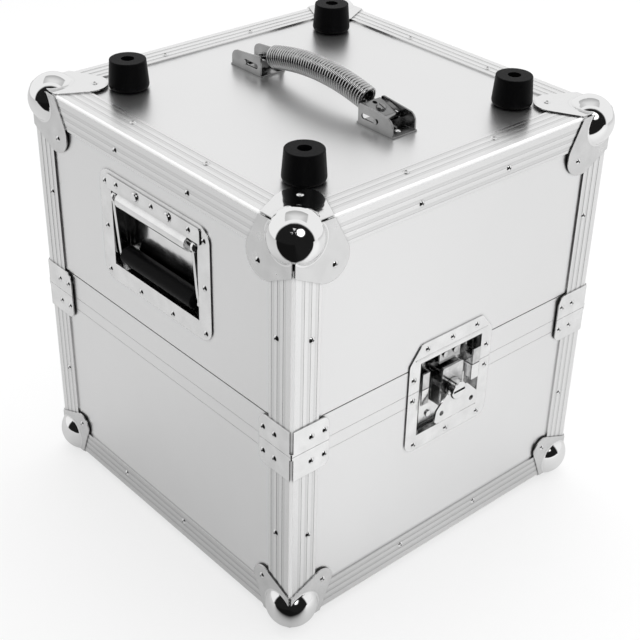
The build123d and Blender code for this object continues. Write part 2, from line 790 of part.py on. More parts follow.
def bail():
    """Two eyed arms with the pivot pin riveted through them and the rod that carries the grip."""
    level, low = bottom + pivot_height, bottom + rod_height
    tilt = degrees(atan2(rod_in - pivot_in, pivot_height - rod_height))
    reach = sqrt((rod_in - pivot_in) ** 2 + (pivot_height - rod_height) ** 2)
    outline = Circle(eye_radius) + Pos(0, -reach) * Circle(arm_width / 2)
    outline += Pos(0, -reach / 2) * Rectangle(arm_width, reach)
    arm = extrude(Plane.YZ.offset(arm_place) * outline, amount=arm_wall)
    sides = arm.faces().filter_by(Axis.X)
    arm = fillet(sides.edges(), arm_edge)
    arm = Pos(0, pivot_in, level) * Rot(X=tilt) * arm
    piece = arm + mirror(arm, Plane.YZ)
    out = arm_place + arm_wall + pin_head
    piece += Pos(0, pivot_in, level) * Rot(Y=90) * Cylinder(pivot_pin, 2 * out)
    for sign in (-1, 1):
        head = Cylinder(pivot_pin + pin_head, pin_head)
        piece += Pos(sign * (out - pin_head / 2), pivot_in, level) * Rot(Y=90) * head
    piece += Pos(0, rod_in, low) * Rot(Y=90) * Cylinder(rod_radius, 2 * arm_place + arm_wall)
    return piece


def grip():
    """Ribbed rubber sleeve on the bail's rod."""
    sleeve = Cylinder(grip_radius, 2 * grip_half)
    sleeve = fillet(sleeve.edges().filter_by(GeomType.CIRCLE), grip_edge)
    sleeve -= Cylinder(rod_radius, 4 * grip_half)
    return Pos(0, rod_in, bottom + rod_height) * Rot(Y=90) * sleeve


def handle_spring():
    """Close-wound torsion spring on the pivot pin, inside the hinge plate's channel."""
    turns = int(spring_half / spring_wire)
    pitch = 2 * spring_half / turns
    outer = spring_inner + spring_wire
    coil = Cylinder(outer, 2 * spring_half) - Cylinder(spring_inner, 2 * spring_half)
    groove = Torus(outer + spring_groove / 2, spring_groove)
    coil -= [Pos(0, 0, k * pitch - spring_half) * groove for k in range(turns + 1)]
    return Pos(0, pivot_in, bottom + pivot_height) * Rot(Y=90) * coil


# ---- strap handle on the lid

arc_centre = top + arc_rise - arc_radius
arc_angle = degrees(asin(arc_half / arc_radius))


def along_arc(angle):
    """A place on the middle line of the grip: its +Y runs along the line, its +Z away from the lid."""
    return Pos(0, 0, arc_centre) * Rot(X=-angle) * Pos(0, 0, arc_radius)


arc_end = along_arc(arc_angle)
pin_along = (end_pin_place - arc_half) / cos(radians(arc_angle))
pin_rise = strap_thick / 2 + end_plate_wall - end_roll
pin_point = (arc_end * Pos(0, pin_along, pin_rise)).position


def swept(section):
    """Turns a section about the arc's centre, over the length of the coil."""
    start = along_arc(-arc_angle) * Rot(X=90) * section
    return revolve(start, Axis((0, 0, arc_centre), (-1, 0, 0)), 2 * arc_angle)


def carry_coil():
    """Close-wound coil that makes the grip: rings on a thin sleeve."""
    pitch = 2 * arc_angle / coil_turns
    wire = radians(pitch) * arc_radius - coil_space
    sleeve = swept(Circle(coil_radius - wire / 3) - Circle(coil_bore))
    ring = Rot(X=90) * Torus(coil_radius - wire / 2, wire / 2)
    places = [along_arc((k + 0.5) * pitch - arc_angle) for k in range(coil_turns)]
    return sleeve.fuse(*[place * ring for place in places])


def strap():
    """Spring-steel band inside the coil, with straight ends screwed to the end plates."""
    band = swept(Rectangle(strap_wide, strap_thick))
    length = pin_along - end_roll - end_strap_gap
    half_x, half_z = strap_wide / 2, strap_thick / 2
    end = slab(-half_x, half_x, 0, length, -half_z, half_z)
    end -= Pos(0, pin_along - end_screw, 0) * Cylinder(end_screw_shank + rivet_room, 4 * strap_thick)
    end = arc_end * end
    return band + end + mirror(end, Plane.XZ)


def handle_end():
    """End plate rolled round its pin, with the screw that clamps the strap: three pieces."""
    half, low = end_wide / 2, strap_thick / 2
    plate = slab(-half, half, end_clear, pin_along, low, low + end_plate_wall)
    plate -= Pos(0, pin_along, pin_rise) * Rot(Y=90) * Cylinder(end_roll, 4 * half)
    roll = Pos(0, pin_along, pin_rise) * Rot(Y=90) * Cylinder(end_roll, end_wide)
    plate += roll
    plate -= Pos(0, pin_along, pin_rise) * Rot(Y=90) * Cylinder(end_pin_radius, 2 * end_wide)
    place = Pos(0, pin_along - end_screw, low + end_plate_wall)
    plate -= place * Cylinder(end_screw_shank, 4 * end_plate_wall)
    plate -= Pos(0, end_hole_place, low) * Cylinder(end_hole, 4 * end_plate_wall)
    head = Pos(0, 0, end_screw_height / 2) * Cylinder(end_screw_head, end_screw_height)
    head = fillet(head.edges().filter_by(GeomType.CIRCLE).sort_by(Axis.Z)[-1], end_screw_height / 2)
    shank = end_plate_wall + strap_thick
    head += Pos(0, 0, -shank / 2) * Cylinder(end_screw_shank, shank)
    head -= Pos(0, 0, end_screw_height) * Box(end_screw_slot, 4 * end_screw_head, end_screw_height)
    pin = Pos(0, pin_along, pin_rise) * Rot(Y=90) * Cylinder(end_pin_radius, bracket_wide + 2 * pin_head)
    return [arc_end * plate, arc_end * place * head, arc_end * pin]


def bracket():
    """Channel riveted to the lid: its slotted sides let the end pin slide as the grip rises."""
    low = top - edge_wall
    half = bracket_wide / 2
    near_round, far_round = bracket_bend
    with BuildLine() as line:
        Polyline((bracket_near, low), (bracket_far, low), (bracket_far, top + bracket_low),
                 (bracket_near, top + bracket_tall), close=True)
    side = make_face(line.line)
    upper = side.vertices().sort_by(Axis.Y)[-2:].sort_by(Axis.X)
    side = fillet(upper[0], near_round)
    side = fillet(side.vertices().filter_by(lambda v: v.X > bracket_far - 0.1).sort_by(Axis.Y)[-1], far_round)
    reach = end_pin_radius + slot_room
    far_end = pin_point.Y + reach
    slot = Pos((slot_near + far_end) / 2, pin_point.Z) * SlotOverall(far_end - slot_near, 2 * reach)
    body = extrude(Plane.YZ.offset(-half) * (side - slot), amount=bracket_wide)
    body -= slab(bracket_wall - half, half - bracket_wall, 0, far, low + bracket_wall, far)
    body += slab(-half, half, bracket_near - bracket_lip, bracket_far + bracket_lip, low, low + bracket_wall)
    return drilled(body, [Pos(0, bracket_rivet, low + bracket_wall)], bracket_wall - edge_wall)


# ---- feet

def foot():
    """Tapered rubber foot with a deep screw hole."""
    low = top - edge_wall
    tall = foot_height + edge_wall
    body = Pos(0, 0, low + tall / 2) * Cone(foot_base, foot_top, tall)
    rim = body.edges().filter_by(GeomType.CIRCLE).sort_by(Axis.Z)[-1]
    body = fillet(rim, foot_edge)
    heel = body.edges().filter_by(GeomType.CIRCLE).sort_by(Axis.Z)[0]
    body = fillet(heel, foot_heel)
    body -= Pos(0, 0, low + foot_web + tall / 2) * Cylinder(foot_bore, tall)
    return body - Pos(0, 0, low) * Cylinder(foot_screw, 4 * foot_web)


def foot_fixing():
    """Washer and pan-head screw in the foot's hole: two pieces."""
    seat = top - edge_wall + foot_web
    washer = Pos(0, 0, seat + foot_washer_wall / 2) * (Cylinder(foot_washer, foot_washer_wall)
                                                       - Cylinder(foot_screw, 2 * foot_washer_wall))
    seat += foot_washer_wall
    head = Pos(0, 0, seat + foot_screw_height / 2) * Cylinder(foot_screw_head, foot_screw_height)
    head = fillet(head.edges().filter_by(GeomType.CIRCLE).sort_by(Axis.Z)[-1], foot_screw_height / 2)
    end = top - panel_in
    head += Pos(0, 0, (seat + end) / 2) * Cylinder(foot_screw, seat - end)
    long, wide = foot_screw_cross
    for turn in (0, 90):
        head -= Pos(0, 0, seat + foot_screw_height) * Rot(Z=turn) * Box(long, wide, foot_screw_height)
    return [washer, head]


foot_spots = [Pos(a * foot_place[0], b * foot_place[1], 0) for a in (-1, 1) for b in (-1, 1)]


# ---- foam

def foam_sheets(part):
    """Loose-cut sheets: one on the floor or under the top, and one on each wall."""
    gap = panel_in + foam_room
    x, y = width / 2 - gap, depth / 2 - gap
    if part == "base":
        flat = bottom + gap
        low, high = flat + foam + foam_room, split - base_band - foam_room
    else:
        flat = top - gap - foam
        low, high = split + lid_band + foam_room, flat - foam_room
    sheets = [slab(-x, x, -y, y, flat, flat + foam)]
    for name, face in faces.items():
        inset = gap if name in ("left", "right") else gap + foam + foam_room
        half = face_span[name] / 2 - inset
        wall = slab(-half, half, gap, gap + foam, low, high)
        room = sheet + foam_room
        if name in ("front", "back"):
            side = dish_mouth + room
            mouth_low = split - dish_mouth_drop - room
            mouth_high = split + dish_mouth_rise + room
        else:
            side = grip_mouth_half + room
            mouth_low, mouth_high = bottom + grip_mouth_low - room, bottom + grip_mouth_high + room
        wall -= slab(-side, side, 0, far, mouth_low, mouth_high)
        sheets.append(face * wall)
    return sheets


# ---- the case, piece by piece

os.makedirs("parts", exist_ok=True)
seats = {"edge": 0.0, "corner": sheet, "brace": sheet, "dish": sheet - edge_wall}
seat_of_hinge = 2 * sheet - edge_wall



def opened(piece, spots, kinds=("edge", "corner", "brace", "dish")):
    """The piece with the holes of the rivets that pass through it."""
    for kind in kinds:
        piece = drilled(piece, spots[kind], seats[kind])
    return piece


for part in ("base", "lid"):
    spots = {"edge": edge_spots(part), "corner": corner_spots(part), "brace": brace_spots(part)}
    spots["dish"] = dish_spots(part) + (grip_spots() if part == "lid" else [])
    for name in faces:
        panel = opened(wall_panel(name, part), spots)
        if part == "lid" and name in ("left", "right"):
            panel = drilled(panel, hinge_spots(), seat_of_hinge)
        write(f"{part}_{name}_panel", panel)
    panel = opened(flat_panel(part), spots, ("edge", "corner"))
    if part == "lid":
        panel = drilled(panel, bracket_spots(), bracket_wall - edge_wall)
        panel -= [place * Pos(0, 0, top) * Cylinder(foot_screw, 4 * panel_in) for place in foot_spots]
    write(f"{part}_{'bottom' if part == 'base' else 'top'}_panel", panel)
    write(f"{part}_edge_profiles", [opened(level_edge(name, part), spots, ("edge",)) for name in faces])
    posts = [corner_post(corner, part) for corner in corners]
    write(f"{part}_corner_posts", [opened(each, spots, ("edge", "brace")) for each in posts])
    write(f"{part}_closing_profile", opened(closing_ring(part), spots, ("brace", "dish")))
    write(f"{part}_ball_corners", ball_corners(part))
    write(f"{part}_split_braces", braces(part))
    write(f"{part}_edge_rivets", rivets(spots["edge"], 0.0))
    write(f"{part}_corner_rivets", rivets(spots["corner"] + spots["brace"], sheet))
    write(f"{part}_dish_rivets", rivets(spots["dish"], seats["dish"]))
    write(f"{part}_foam_lining", foam_sheets(part))

for name in ("front", "back"):
    face = faces[name]
    frame, frame_heads = latch_frame()
    plate, plate_heads = keeper()
    write(f"{name}_latch_dish", face * base_dish())
    write(f"{name}_latch_frame", [face * piece for piece in [frame] + frame_heads])
    write(f"{name}_latch_hook", face * hook())
    write(f"{name}_latch_rotor", face * rotor())
    write(f"{name}_latch_wing", face * wing())
    write(f"{name}_keeper_dish", face * lid_dish())
    write(f"{name}_keeper", [face * piece for piece in [plate] + plate_heads])

for name in ("left", "right"):
    face = faces[name]
    write(f"{name}_handle_dish", face * grip_dish())
    write(f"{name}_hinge_plate", face * hinge_plate())
    write(f"{name}_handle_bail", face * bail())
    write(f"{name}_handle_grip", face * grip())
    write(f"{name}_handle_spring", face * handle_spring())

write("carry_coil", carry_coil())
write("carry_strap", strap())
write("rear_carry_end", handle_end())
write("front_carry_end", [mirror(piece, Plane.XZ) for piece in handle_end()])
write("carry_brackets", [bracket(), mirror(bracket(), Plane.XZ)])
fittings = rivets(hinge_spots(), seat_of_hinge) + rivets(bracket_spots(), bracket_wall - edge_wall)
write("handle_rivets", fittings)
write("rubber_feet", [place * foot() for place in foot_spots])
write("foot_screws", [place * piece for place in foot_spots for piece in foot_fixing()])
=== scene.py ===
import math
import bpy
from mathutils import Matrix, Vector


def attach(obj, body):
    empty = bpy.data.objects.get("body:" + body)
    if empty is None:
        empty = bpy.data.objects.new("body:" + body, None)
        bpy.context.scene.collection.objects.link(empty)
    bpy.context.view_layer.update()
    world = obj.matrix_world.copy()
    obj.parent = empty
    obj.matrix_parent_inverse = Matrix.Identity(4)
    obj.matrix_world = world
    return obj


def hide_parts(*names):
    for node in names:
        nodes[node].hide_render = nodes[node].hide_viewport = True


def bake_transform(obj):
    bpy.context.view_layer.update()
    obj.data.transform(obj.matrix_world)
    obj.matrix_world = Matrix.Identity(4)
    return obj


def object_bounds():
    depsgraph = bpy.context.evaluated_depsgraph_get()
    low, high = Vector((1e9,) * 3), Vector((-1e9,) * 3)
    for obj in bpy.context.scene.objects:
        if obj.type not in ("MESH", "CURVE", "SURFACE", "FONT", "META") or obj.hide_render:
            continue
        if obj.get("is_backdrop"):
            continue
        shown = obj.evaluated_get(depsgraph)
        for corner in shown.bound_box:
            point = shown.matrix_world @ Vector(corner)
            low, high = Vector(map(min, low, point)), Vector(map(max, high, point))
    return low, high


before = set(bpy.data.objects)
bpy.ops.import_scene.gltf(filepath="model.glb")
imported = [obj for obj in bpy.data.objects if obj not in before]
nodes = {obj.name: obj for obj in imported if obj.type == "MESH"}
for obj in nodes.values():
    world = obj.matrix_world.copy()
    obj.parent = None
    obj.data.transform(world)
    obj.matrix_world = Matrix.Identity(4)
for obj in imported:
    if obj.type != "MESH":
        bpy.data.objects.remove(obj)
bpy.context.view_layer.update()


# ---- Camera
# The photographer stands in front of the left-hand upright edge and looks down on the lid
# with a short telephoto lens, the case filling the frame.

camera_place = (-0.7373, -0.8263, 0.8646)
camera_turn = (57.852, -1.185, -41.285)      # degrees
camera_lens = 74.396                         # millimetres, on a 36 mm sensor
camera_shift = (0.0, 0.0)

bpy.ops.object.camera_add(location=camera_place, rotation=[math.radians(a) for a in camera_turn])
camera = bpy.context.object
camera.name = "camera"
camera.data.lens = camera_lens
camera.data.sensor_width = 36.0
camera.data.shift_x, camera.data.shift_y = camera_shift
camera.data.clip_start = 0.01
bpy.context.scene.camera = camera


# ---- Studio
# A white floor under a white world, a large softbox over the case, and a dark room behind the
# camera, which shows only in the bright metal.


class Tap:
    """A socket of a finish. Sums on taps add Math nodes."""

    def __init__(self, finish, socket):
        self.finish, self.socket = finish, socket

    def work(self, how, first, second):
        return self.finish.add("ShaderNodeMath", {"operation": how}, {0: first, 1: second})

    def __add__(self, other):
        return self.work("ADD", self, other)

    def __radd__(self, other):
        return self.work("ADD", other, self)

    def __sub__(self, other):
        return self.work("SUBTRACT", self, other)

    def __rsub__(self, other):
        return self.work("SUBTRACT", other, self)

    def __mul__(self, other):
        return self.work("MULTIPLY", self, other)

    def __rmul__(self, other):
        return self.work("MULTIPLY", other, self)

    def __truediv__(self, other):
        return self.work("DIVIDE", self, other)

    def __pow__(self, other):
        return self.work("POWER", self, other)

    def __gt__(self, other):
        return self.work("GREATER_THAN", self, other)

    def __lt__(self, other):
        return self.work("LESS_THAN", self, other)

    def __abs__(self):
        return self.work("ABSOLUTE", self, 0)

    def least(self, other):
        return self.work("MINIMUM", self, other)

    def most(self, other):
        return self.work("MAXIMUM", self, other)

    def rise(self, start, end):
        """0 below the start, 1 beyond the end, smooth between them."""
        span = {"Value": self, "From Min": start, "From Max": end}
        return self.finish.add("ShaderNodeMapRange", {"interpolation_type": "SMOOTHSTEP"}, span)


class Finish:
    """A procedural finish: the nodes of one material, or of the world."""

    def __init__(self, name, **sockets):
        self.material = bpy.data.materials.new(name)
        self.material.use_nodes = True
        self.tree = self.material.node_tree
        self.shader = self.tree.nodes["Principled BSDF"]
        self.set(self.shader, {key.replace("_", " "): value for key, value in sockets.items()})

    def set(self, node, sockets):
        """Puts values and links into a node's inputs."""
        for key, value in sockets.items():
            if isinstance(value, Tap):
                self.tree.links.new(value.socket, node.inputs[key])
            else:
                node.inputs[key].default_value = value

    def add(self, kind, settings=None, sockets=None, out=0):
        """A new node with its settings made first, then its values and links."""
        node = self.tree.nodes.new(kind)
        for key, value in (settings or {}).items():
            if key == "stops":
                ramp = node.color_ramp.elements
                while len(ramp) < len(value):
                    ramp.new(0.5)
                for stop, (place, colour) in zip(ramp, value):
                    stop.position, stop.color = place, colour
            else:
                setattr(node, key, value)
        self.set(node, sockets or {})
        return Tap(self, node.outputs[out])

    def place(self, out=3):
        """Where a point is on the piece."""
        return self.add("ShaderNodeTexCoord", out=out)

    def axes(self, vector):
        """The three components of a vector."""
        return [self.add("ShaderNodeSeparateXYZ", None, {0: vector}, axis) for axis in range(3)]

    def noise(self, scale, detail=3.0, stretch=(1, 1, 1), out=0):
        """Soft noise, finer along an axis that is stretched more."""
        at = self.add("ShaderNodeMapping", None, {"Vector": self.place(), "Scale": stretch})
        return self.add("ShaderNodeTexNoise", None, {"Vector": at, "Scale": scale, "Detail": detail}, out)

    def spread(self, value, low, high):
        """Brings a value of 0.3 to 0.7 to low to high."""
        return self.add("ShaderNodeMapRange", None,
                        {"Value": value, "From Min": 0.3, "From Max": 0.7, "To Min": low, "To Max": high})

    def grey(self, value):
        """A grey of that brightness."""
        return self.add("ShaderNodeCombineColor", None, {0: value, 1: value, 2: value})

    def hollow_shade(self, reach, depth):
        """1 on open faces, less within the reach of a step or a neighbour: painted shade in hollows, gaps and along
        steps.
        """
        near = self.add("ShaderNodeAmbientOcclusion", {"samples": 8}, {"Distance": reach}, 1)
        return 1 - depth * (1 - near)

    def bump(self, height, strength, distance, edge=0):
        """Small relief from a height between 0 and 1, on edges that are rounded a little."""
        relief = {"Height": height, "Strength": strength, "Distance": distance}
        if edge:
            relief["Normal"] = self.add("ShaderNodeBevel", {"samples": 4}, {"Radius": edge})
        return self.add("ShaderNodeBump", None, relief)

    def feed(self, **sockets):
        self.set(self.shader, {key.replace("_", " "): value for key, value in sockets.items()})

    def on(self, *names):
        """Dresses nodes of the frame, or pieces made here."""
        for name in names:
            piece = nodes[name] if isinstance(name, str) else name
            piece.data.materials.clear()
            piece.data.materials.append(self.material)


def deselect():
    if bpy.context.object and bpy.context.object.mode != "OBJECT":
        bpy.ops.object.mode_set(mode="OBJECT")
    bpy.ops.object.select_all(action="DESELECT")


# the floor: a flat square plane
deselect()
bpy.ops.mesh.primitive_plane_add(size=8.0, location=(0, 0, 0))
floor = bpy.context.object
floor.name = "floor"
floor_paint = Finish("floor_white", Base_Color=(0.84, 0.84, 0.84, 1), Roughness=0.7, Specular_IOR_Level=0.1)
seen = floor_paint.add("ShaderNodeLightPath", out=0)
mirrored = floor_paint.add("ShaderNodeLightPath", out=3)
x, y, z = floor_paint.axes(floor_paint.place())
# Painted shade in the floor as the metal reflects it: camera rays see it white, but reflections see it dark grey on the
# left, lighter on the right side and darker towards its back, and nearly black ahead of the case towards the camera.
reflected_dark_ahead = (-0.707 * (x + y) - 0.27 * abs(x - y)).rise(0.24, 0.32)
right_shade_side = (x - y).rise(-0.05, 0.25)
right_reflected_shade = 0.84 - 0.28 * (x + 0.875 * y).rise(-0.38, 0.15)
tone = 0.46 * (1 - right_shade_side) + right_reflected_shade * right_shade_side
glow = floor_paint.add("ShaderNodeEmission", None, {
    "Color": floor_paint.grey(seen + mirrored * tone * (1 - 0.985 * reflected_dark_ahead)), "Strength": 1.0})
share = 0.67 * seen + mirrored * (0.62 + 0.38 * reflected_dark_ahead)
mix = floor_paint.add("ShaderNodeMixShader", None,
                      {0: share, 1: Tap(floor_paint, floor_paint.shader.outputs[0]), 2: glow})
floor_paint.tree.links.new(mix.socket, floor_paint.tree.nodes["Material Output"].inputs["Surface"])
floor_paint.on(floor)
floor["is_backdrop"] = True

world = bpy.data.worlds.new("studio")
bpy.context.scene.world = world
world.use_nodes = True


class Air(Finish):
    """The same for the world's nodes."""

    def __init__(self, world):
        self.tree = world.node_tree
        self.shader = self.tree.nodes["Background"]


air = Air(world)
toward = air.add("ShaderNodeTexCoord", out=0)
glossy = air.add("ShaderNodeLightPath", out=3)
seen = air.add("ShaderNodeLightPath", out=0)


def lobe(way, start, end):
    """How far a direction turns towards a way, from 0 at the start to 1 at the end."""
    ends = {0: toward, 1: tuple(Vector(way).normalized())}
    return air.add("ShaderNodeVectorMath", {"operation": "DOT_PRODUCT"}, ends, 1).rise(start, end)


dark = lobe((-0.707, -0.707, 0.0), 0.20, 0.32)
x, y, z = air.axes(toward)
height = z.most(0.02)
aside, behind = abs(x - y) / (1.414 * height), (x + y) / (1.414 * height)
softbox_seen = (1 - aside.rise(0.66, 0.72)) * behind.rise(-0.02, 0.02) * (1 - behind.rise(0.95, 1.05)) * (z > 0.02)
shade = (aside.rise(0.1, 0.7) * 0.7).most(behind.rise(0.1, 0.9))
spot = lobe((-0.28, -0.86, 0.72), 0.955, 0.985)
shown = (0.88 - (0.10 + 0.34 * shade) * softbox_seen) * (1 - dark) + 0.012 * dark + 2.5 * spot
light = 0.95 * (1 - seen) * (1 - glossy) + seen + glossy * shown
air.set(air.shader, {"Color": air.grey(light), "Strength": 1.0})


def softbox(name, place, target, size, power):
    """A rectangular lamp turned towards a point."""
    bpy.ops.object.light_add(type="AREA", location=place)
    lamp = bpy.context.object
    lamp.name = name
    lamp.data.shape = "RECTANGLE"
    lamp.data.size, lamp.data.size_y = size
    lamp.data.energy = power
    lamp.rotation_euler = (Vector(target) - Vector(place)).to_track_quat("-Z", "Y").to_euler()
    return lamp


for name, place, size, power in (("overhead", (0.35, 0.35, 1.9), (1.4, 1.4), 16.0),
                                 ("right_card", (1.5, -0.9, 1.1), (1.0, 1.2), 8.0)):
    lamp = softbox(name, place, (0, 0, 0.2), size, power)
    lamp.visible_glossy = False


# ---- Walls
# Seven-millimetre plywood faced on both sides with a satin grey metal laminate, held in the
# edge profiles. The sheet has a faint rolled grain that blurs what it reflects.

laminate = Finish("satin_laminate", Metallic=1.0, Specular_IOR_Level=0.5)
rolled = laminate.noise(9.0, 2.0)
tone = laminate.spread(rolled, 0.92, 0.94)
# Painted shade darkens the panels along the edges of the profiles and plates that sit on them.
laminate.feed(Base_Color=laminate.grey(tone * laminate.hollow_shade(0.003, 0.45)),
              Roughness=laminate.spread(rolled, 0.31, 0.34))
for part, flat in (("base", "bottom"), ("lid", "top")):
    laminate.on(*[f"{part}_{side}_panel" for side in ("front", "right", "back", "left", flat)])


# ---- Edge and closing profiles
# Extruded aluminium angles with fine grooves along their legs, in a pale anodised finish. The
# tongue-and-groove profile round the split takes the laminate's finish.

anodised = Finish("anodised_profile", Metallic=1.0)
x, y, z = anodised.axes(anodised.place())
in_x, in_y, in_z = 0.185 - abs(x), 0.183 - abs(y), 0.199 - abs(z - 0.208)
across = in_x + in_y + in_z - in_x.least(in_y).least(in_z) - in_x.most(in_y).most(in_z)
# The stripes across the legs are painted highlights along the ridges and painted shade in the grooves, over the pale
# anodised tone.
ridge_highlight_levels = ((0.0, 0.90), (0.27, 0.90), (0.30, 0.79), (0.39, 0.83), (0.41, 0.92), (0.52, 0.88), (0.55, 0.78),
          (0.64, 0.82), (0.66, 0.92), (0.77, 0.87), (0.80, 0.79), (0.89, 0.82), (0.91, 0.89))
ridge_highlight_stripes = anodised.add("ShaderNodeValToRGB",
                       {"stops": [(place, (tone, tone, tone, 1)) for place, tone in ridge_highlight_levels]},
                       {0: across / 0.029})
# The fold turns rougher and less metallic, so that it shows as a bright band: a painted highlight.
fold = 1 - across.rise(0.0016, 0.0028)
# Painted shade: darker along steps and beside neighbours, and darker again towards the bottom, where the profiles
# reflect the shaded floor.
stripes_and_painted_shade = anodised.add("ShaderNodeMix", {"data_type": "RGBA", "blend_type": "MULTIPLY"},
                      {0: 1.0, 6: ridge_highlight_stripes, 7: anodised.grey(anodised.hollow_shade(0.004, 0.6) * (0.86 + 0.14 * z.rise(0.03, 0.06)))}, 2)
anodised.feed(Base_Color=stripes_and_painted_shade, Metallic=1 - 0.8 * fold, Roughness=anodised.spread(anodised.noise(40.0, 2.0), 0.22, 0.26) + 0.34 * fold)
for part in ("base", "lid"):
    anodised.on(f"{part}_edge_profiles", f"{part}_corner_posts")
    laminate.on(f"{part}_closing_profile")


# ---- Ball corners
# Pressed steel balls with three leaves, zinc plated: polished on the ball and duller on the
# leaves, which carry the faint waves of the press.

corner_metal = Finish("plated_corner", Metallic=1.0)
x, y, z = corner_metal.axes(corner_metal.place())
away = ((abs(x) - 0.171) ** 2 + (abs(y) - 0.169) ** 2 + (abs(z - 0.208) - 0.185) ** 2) ** 0.5
ball = away < 0.0245
# The leaves on the top and bottom faces are painted lighter and smoother than those on the sides: painted sheen.
level_leaf_sheen = abs(z - 0.208) > 0.1996
waves = corner_metal.noise(45.0, 2.0)
fine = corner_metal.noise(60.0, 3.0)
leaf_tone_and_sheen = corner_metal.spread(fine, 0.72, 0.82) * (1 - level_leaf_sheen) + 0.90 * level_leaf_sheen
leaf_rough = corner_metal.spread(fine, 0.20, 0.28) * (1 - level_leaf_sheen) + 0.07 * level_leaf_sheen
# Painted shade darkens the leaves along their edges and the ball where it meets them.
corner_metal.feed(
    Base_Color=corner_metal.grey((leaf_tone_and_sheen * (1 - ball) + 0.93 * ball) * corner_metal.hollow_shade(0.004, 0.7)),
    Roughness=leaf_rough * (1 - ball) + 0.03 * ball,
    Normal=corner_metal.bump(waves, 0.2, 0.002, edge=0.0006))
corner_metal.on("base_ball_corners", "lid_ball_corners")


# ---- Braces, dishes and plates
# Pressed zinc-plated sheet, bright but a little uneven.

zinc = Finish("zinc_plate", Metallic=1.0)
cloud = zinc.noise(60.0, 3.0)
swell = zinc.noise(40.0, 2.0)
# Painted shade darkens the plate along its steps and beside its neighbours.
zinc.feed(Base_Color=zinc.grey(zinc.spread(cloud, 0.86, 0.98) * zinc.hollow_shade(0.006, 0.8)),
          Roughness=zinc.spread(cloud, 0.10, 0.20),
          Normal=zinc.bump(swell, 0.15, 0.002, edge=0.0006))
zinc.on("base_split_braces", "lid_split_braces")
for name in ("front", "back"):
    zinc.on(f"{name}_latch_dish", f"{name}_keeper_dish", f"{name}_latch_frame")
for name in ("left", "right"):
    zinc.on(f"{name}_handle_dish", f"{name}_hinge_plate")


# ---- Latch mechanism
# The hook and the keeper in the bottom of each dish: the same plate, painted darker and nearly black in their recesses,
# as painted shade at the bottom of the dish.

latch_shade_zinc = Finish("latch_zinc_painted_shade", Metallic=1.0)
cloud = latch_shade_zinc.noise(90.0, 3.0)
# Painted shade: a darker plate, nearly black in the recesses.
latch_shade_zinc.feed(Base_Color=latch_shade_zinc.grey(latch_shade_zinc.spread(cloud, 0.48, 0.86) * latch_shade_zinc.hollow_shade(0.014, 0.95)),
             Roughness=latch_shade_zinc.spread(cloud, 0.08, 0.16),
             Normal=latch_shade_zinc.bump(cloud, 0.2, 0.001, edge=0.0006))
for name in ("front", "back"):
    latch_shade_zinc.on(f"{name}_keeper", f"{name}_latch_hook")


# ---- Handle brackets
# Two bent channels of duller plated sheet that hold the ends of the carrying handle.

bracket_zinc = Finish("bracket_zinc", Metallic=1.0)
cloud = bracket_zinc.noise(50.0, 3.0)
# Painted shade darkens the channels in their bends and beside their neighbours.
bracket_zinc.feed(
    Base_Color=bracket_zinc.grey(bracket_zinc.spread(cloud, 0.30, 0.42) * bracket_zinc.hollow_shade(0.008, 0.8)),
    Roughness=bracket_zinc.spread(cloud, 0.12, 0.22), Normal=bracket_zinc.bump(cloud, 0.1, 0.001, edge=0.0006))
bracket_zinc.on("carry_brackets", "rear_carry_end", "front_carry_end")


# ---- Rivets and bright parts
# Nickel-plated rivets, latch drums, turn plates, bails and pins.

nickel = Finish("bright_nickel", Metallic=1.0)
haze = nickel.noise(80.0, 2.0)
# Painted shade darkens the rivets and bright parts where they meet the surfaces round them.
nickel.feed(Base_Color=nickel.grey(nickel.spread(haze, 0.86, 0.94) * nickel.hollow_shade(0.004, 0.8)), Roughness=nickel.spread(haze, 0.05, 0.12))
for name in ("front", "back"):
    nickel.on(f"{name}_latch_rotor", f"{name}_latch_wing")
for name in ("left", "right"):
    nickel.on(f"{name}_handle_bail", f"{name}_handle_spring")
nickel.on("base_edge_rivets", "base_corner_rivets", "base_dish_rivets", "lid_edge_rivets", "lid_corner_rivets",
          "lid_dish_rivets", "handle_rivets", "foot_screws")


# ---- Carrying handle
# A close-wound coil of round wire slides over a band of spring steel: each half is wound
# straight, bent to the arc and copied to the other side.

handle_middle = (0.0, 0.0, 0.431)
arc_radius = 0.234
half_angle = math.radians(16.384)
half_length = arc_radius * half_angle
wire = 0.0033                     # diameter
turns = 20
coil_end = 0.0038                 # the last turn stops this short of the arc's end, where the end plate slides in
coil_radius = 0.0110 - wire / 2   # of the wire's own middle
band_size = (0.014, 0.0015)
band_drop = 0.00045               # below the middle line, clear of the sliding end plates
band_end = 0.0075                 # straight part outside the coil, short of the end plates' screws
lid_side, grip_side = 0.0665, 0.030   # two places along Y, one by the lid and one by the grip


def bend_half(piece, length, bent):
    """Bends the first stretch of a straight half, which stands along Z, to the handle's arc."""
    bow = piece.modifiers.new("bow", "SIMPLE_DEFORM")
    bow.deform_method = "BEND"
    bow.deform_axis = "X"
    bow.angle = bent / arc_radius
    bow.limits = (0.0, bent / length)
    bpy.ops.object.modifier_apply(modifier="bow")
    piece.rotation_euler = (-math.pi / 2, 0, 0)
    piece.location = handle_middle
    bpy.ops.object.transform_apply(location=True, rotation=True, scale=True)


def second_half(piece, name):
    """A copy turned half round the middle of the handle, with its own mesh."""
    deselect()
    piece.select_set(True)
    bpy.context.view_layer.objects.active = piece
    bpy.ops.object.duplicate()
    other = bpy.context.object
    other.name = name
    other.rotation_euler = (0, 0, math.pi)
    bpy.ops.object.transform_apply(location=True, rotation=True, scale=True)
    return other


